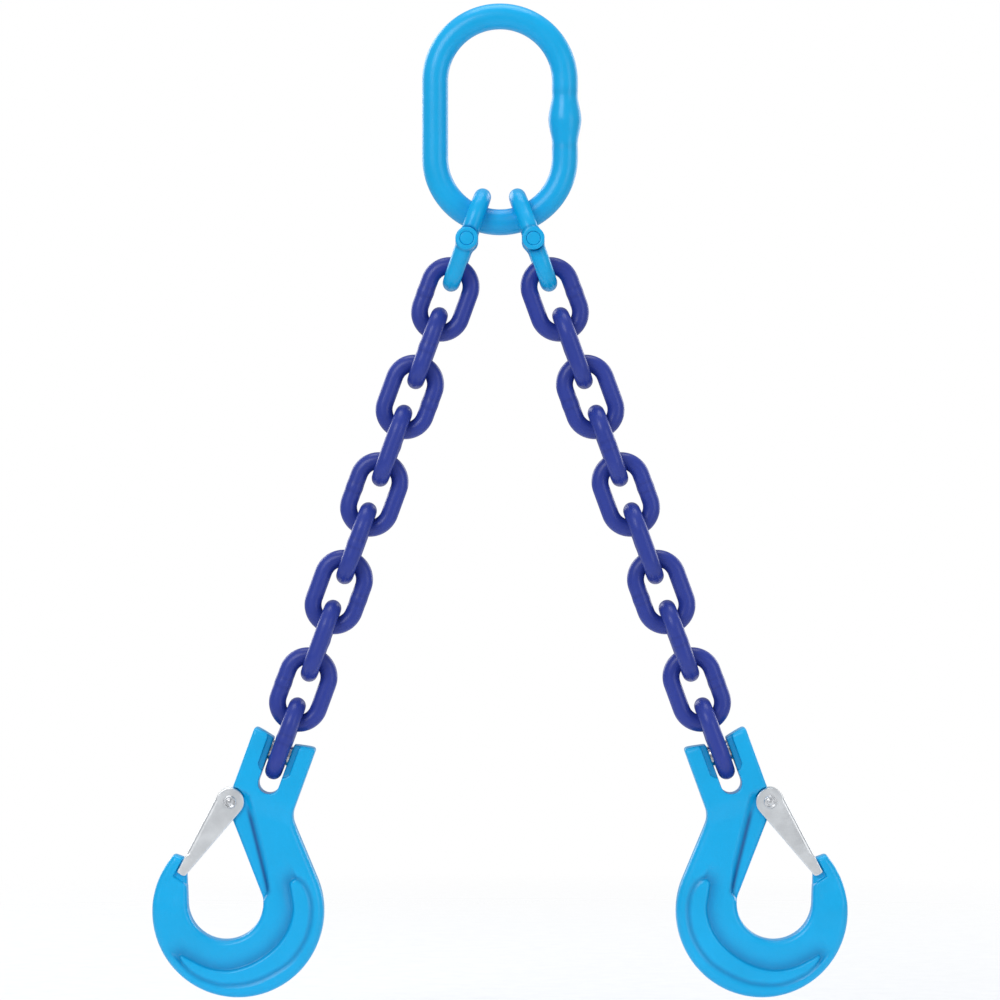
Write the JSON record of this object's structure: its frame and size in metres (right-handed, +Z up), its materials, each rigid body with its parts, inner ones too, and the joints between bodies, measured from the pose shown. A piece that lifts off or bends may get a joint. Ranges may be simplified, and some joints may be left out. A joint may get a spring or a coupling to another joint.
{
  "type": "chain sling",
  "caption": "Lifting chain sling: oblong master link, forged half-link couplings, short-link chain legs and clevis hooks with spring safety latches.",
  "frame": {"origin": "seat for the crane hook: inside top of the master link, on its centre plane", "axes": "+Z up, +X to the right across the two spread legs, +Y from the front face to the back face"},
  "size_m": [0.4012, 0.051, 0.574],
  "materials": {
    "blue_paint": "satin powder coat, light cyan blue",
    "chain_paint": "satin indigo blue coating",
    "latch_zinc": "zinc plated pressed sheet",
    "pin_steel": "bright plated steel",
    "spring_steel": "drawn spring wire"
  },
  "bodies": {
    "master_link": {"master_link": "blue_paint"},
    "left_coupling_upper": {"left_coupling_upper_half": "blue_paint"},
    "left_coupling_lower": {"left_coupling_lower_half": "blue_paint", "left_coupling_pin": "blue_paint", "left_coupling_bush": "pin_steel"},
    "left_chain_link_01": {"left_link_01": "chain_paint"},
    "left_chain_link_02": {"left_link_02": "chain_paint"},
    "left_chain_link_03": {"left_link_03": "chain_paint"},
    "left_chain_link_04": {"left_link_04": "chain_paint"},
    "left_chain_link_05": {"left_link_05": "chain_paint"},
    "left_chain_link_06": {"left_link_06": "chain_paint"},
    "left_chain_link_07": {"left_link_07": "chain_paint"},
    "left_chain_link_08": {"left_link_08": "chain_paint"},
    "left_chain_link_09": {"left_link_09": "chain_paint"},
    "left_chain_link_10": {"left_link_10": "chain_paint"},
    "left_hook": {"left_hook_body": "blue_paint", "left_load_pin": "pin_steel", "left_retaining_pin": "pin_steel", "left_latch_pin": "pin_steel", "left_latch_spring": "spring_steel"},
    "left_latch_gate": {"left_latch": "latch_zinc"},
    "right_coupling_upper": {"right_coupling_upper_half": "blue_paint"},
    "right_coupling_lower": {"right_coupling_lower_half": "blue_paint", "right_coupling_pin": "blue_paint", "right_coupling_bush": "pin_steel"},
    "right_chain_link_01": {"right_link_01": "chain_paint"},
    "right_chain_link_02": {"right_link_02": "chain_paint"},
    "right_chain_link_03": {"right_link_03": "chain_paint"},
    "right_chain_link_04": {"right_link_04": "chain_paint"},
    "right_chain_link_05": {"right_link_05": "chain_paint"},
    "right_chain_link_06": {"right_link_06": "chain_paint"},
    "right_chain_link_07": {"right_link_07": "chain_paint"},
    "right_chain_link_08": {"right_link_08": "chain_paint"},
    "right_chain_link_09": {"right_link_09": "chain_paint"},
    "right_chain_link_10": {"right_link_10": "chain_paint"},
    "right_hook": {"right_hook_body": "blue_paint", "right_load_pin": "pin_steel", "right_retaining_pin": "pin_steel", "right_latch_pin": "pin_steel", "right_latch_spring": "spring_steel"},
    "right_latch_gate": {"right_latch": "latch_zinc"}
  },
  "joints": [
    {"name": "left_coupling_swing", "type": "hinge", "parent": "master_link", "child": "left_coupling_upper", "pos_m": [-0.01437, 0, -0.10863], "axis": [0.9397, 0, -0.342], "range_deg": [-90, 90]},
    {"name": "left_coupling_pivot", "type": "hinge", "parent": "left_coupling_upper", "child": "left_coupling_lower", "pos_m": [-0.01914, 0, -0.12174], "axis": [0, -1, 0], "range_deg": [-60, 25]},
    {"name": "left_link_01_swing", "type": "hinge", "parent": "left_coupling_lower", "child": "left_chain_link_01", "pos_m": [-0.02821, 0, -0.14664], "axis": [0, 1, 0], "range_deg": [-30, 90]},
    {"name": "left_link_02_swing", "type": "hinge", "parent": "left_chain_link_01", "child": "left_chain_link_02", "pos_m": [-0.03847, 0, -0.17483], "axis": [0.9397, 0, -0.342], "range_deg": [-90, 90]},
    {"name": "left_link_03_swing", "type": "hinge", "parent": "left_chain_link_02", "child": "left_chain_link_03", "pos_m": [-0.04873, 0, -0.20303], "axis": [0, -1, 0], "range_deg": [-90, 35]},
    {"name": "left_link_04_swing", "type": "hinge", "parent": "left_chain_link_03", "child": "left_chain_link_04", "pos_m": [-0.05899, 0, -0.23122], "axis": [-0.9397, 0, 0.342], "range_deg": [-90, 90]},
    {"name": "left_link_05_swing", "type": "hinge", "parent": "left_chain_link_04", "child": "left_chain_link_05", "pos_m": [-0.06925, 0, -0.25941], "axis": [0, -1, 0], "range_deg": [-90, 45]},
    {"name": "left_link_06_swing", "type": "hinge", "parent": "left_chain_link_05", "child": "left_chain_link_06", "pos_m": [-0.07951, 0, -0.2876], "axis": [0.9397, 0, -0.342], "range_deg": [-90, 90]},
    {"name": "left_link_07_swing", "type": "hinge", "parent": "left_chain_link_06", "child": "left_chain_link_07", "pos_m": [-0.08977, 0, -0.31579], "axis": [0, -1, 0], "range_deg": [-90, 60]},
    {"name": "left_link_08_swing", "type": "hinge", "parent": "left_chain_link_07", "child": "left_chain_link_08", "pos_m": [-0.10003, 0, -0.34398], "axis": [-0.9397, 0, 0.342], "range_deg": [-90, 90]},
    {"name": "left_link_09_swing", "type": "hinge", "parent": "left_chain_link_08", "child": "left_chain_link_09", "pos_m": [-0.11029, 0, -0.37217], "axis": [0, 1, 0], "range_deg": [-90, 90]},
    {"name": "left_link_10_swing", "type": "hinge", "parent": "left_chain_link_09", "child": "left_chain_link_10", "pos_m": [-0.12055, 0, -0.40036], "axis": [-0.9397, 0, 0.342], "range_deg": [-90, 90]},
    {"name": "left_hook_swing", "type": "hinge", "parent": "left_chain_link_10", "child": "left_hook", "pos_m": [-0.12705, 0, -0.41821], "axis": [0.9397, 0, -0.342], "range_deg": [-90, 90]},
    {"name": "left_latch_pivot", "type": "hinge", "parent": "left_hook", "child": "left_latch_gate", "pos_m": [-0.15581, 0, -0.44606], "axis": [0, -1, 0], "range_deg": [0, 50], "stiffness_Nm_per_rad": 0.06, "springref_deg": -60, "deforming": ["left_latch_spring"]},
    {"name": "right_coupling_swing", "type": "hinge", "parent": "master_link", "child": "right_coupling_upper", "pos_m": [0.01437, 0, -0.10863], "axis": [-0.9397, 0, -0.342], "range_deg": [-90, 90]},
    {"name": "right_coupling_pivot", "type": "hinge", "parent": "right_coupling_upper", "child": "right_coupling_lower", "pos_m": [0.01914, 0, -0.12174], "axis": [0, 1, 0], "range_deg": [-60, 25]},
    {"name": "right_link_01_swing", "type": "hinge", "parent": "right_coupling_lower", "child": "right_chain_link_01", "pos_m": [0.02821, 0, -0.14664], "axis": [0, -1, 0], "range_deg": [-30, 90]},
    {"name": "right_link_02_swing", "type": "hinge", "parent": "right_chain_link_01", "child": "right_chain_link_02", "pos_m": [0.03847, 0, -0.17483], "axis": [0.9397, 0, 0.342], "range_deg": [-90, 90]},
    {"name": "right_link_03_swing", "type": "hinge", "parent": "right_chain_link_02", "child": "right_chain_link_03", "pos_m": [0.04873, 0, -0.20303], "axis": [0, -1, 0], "range_deg": [-35, 90]},
    {"name": "right_link_04_swing", "type": "hinge", "parent": "right_chain_link_03", "child": "right_chain_link_04", "pos_m": [0.05899, 0, -0.23122], "axis": [-0.9397, 0, -0.342], "range_deg": [-90, 90]},
    {"name": "right_link_05_swing", "type": "hinge", "parent": "right_chain_link_04", "child": "right_chain_link_05", "pos_m": [0.06925, 0, -0.25941], "axis": [0, -1, 0], "range_deg": [-45, 90]},
    {"name": "right_link_06_swing", "type": "hinge", "parent": "right_chain_link_05", "child": "right_chain_link_06", "pos_m": [0.07951, 0, -0.2876], "axis": [0.9397, 0, 0.342], "range_deg": [-90, 90]},
    {"name": "right_link_07_swing", "type": "hinge", "parent": "right_chain_link_06", "child": "right_chain_link_07", "pos_m": [0.08977, 0, -0.31579], "axis": [0, 1, 0], "range_deg": [-90, 60]},
    {"name": "right_link_08_swing", "type": "hinge", "parent": "right_chain_link_07", "child": "right_chain_link_08", "pos_m": [0.10003, 0, -0.34398], "axis": [-0.9397, 0, -0.342], "range_deg": [-90, 90]},
    {"name": "right_link_09_swing", "type": "hinge", "parent": "right_chain_link_08", "child": "right_chain_link_09", "pos_m": [0.11029, 0, -0.37217], "axis": [0, -1, 0], "range_deg": [-90, 90]},
    {"name": "right_link_10_swing", "type": "hinge", "parent": "right_chain_link_09", "child": "right_chain_link_10", "pos_m": [0.12055, 0, -0.40036], "axis": [-0.9397, 0, -0.342], "range_deg": [-90, 90]},
    {"name": "right_hook_swing", "type": "hinge", "parent": "right_chain_link_10", "child": "right_hook", "pos_m": [0.12705, 0, -0.41821], "axis": [0.9397, 0, 0.342], "range_deg": [-90, 90]},
    {"name": "right_latch_pivot", "type": "hinge", "parent": "right_hook", "child": "right_latch_gate", "pos_m": [0.15581, 0, -0.44606], "axis": [0, 1, 0], "range_deg": [0, 50], "stiffness_Nm_per_rad": 0.06, "springref_deg": -60, "deforming": ["right_latch_spring"]}
  ]
}
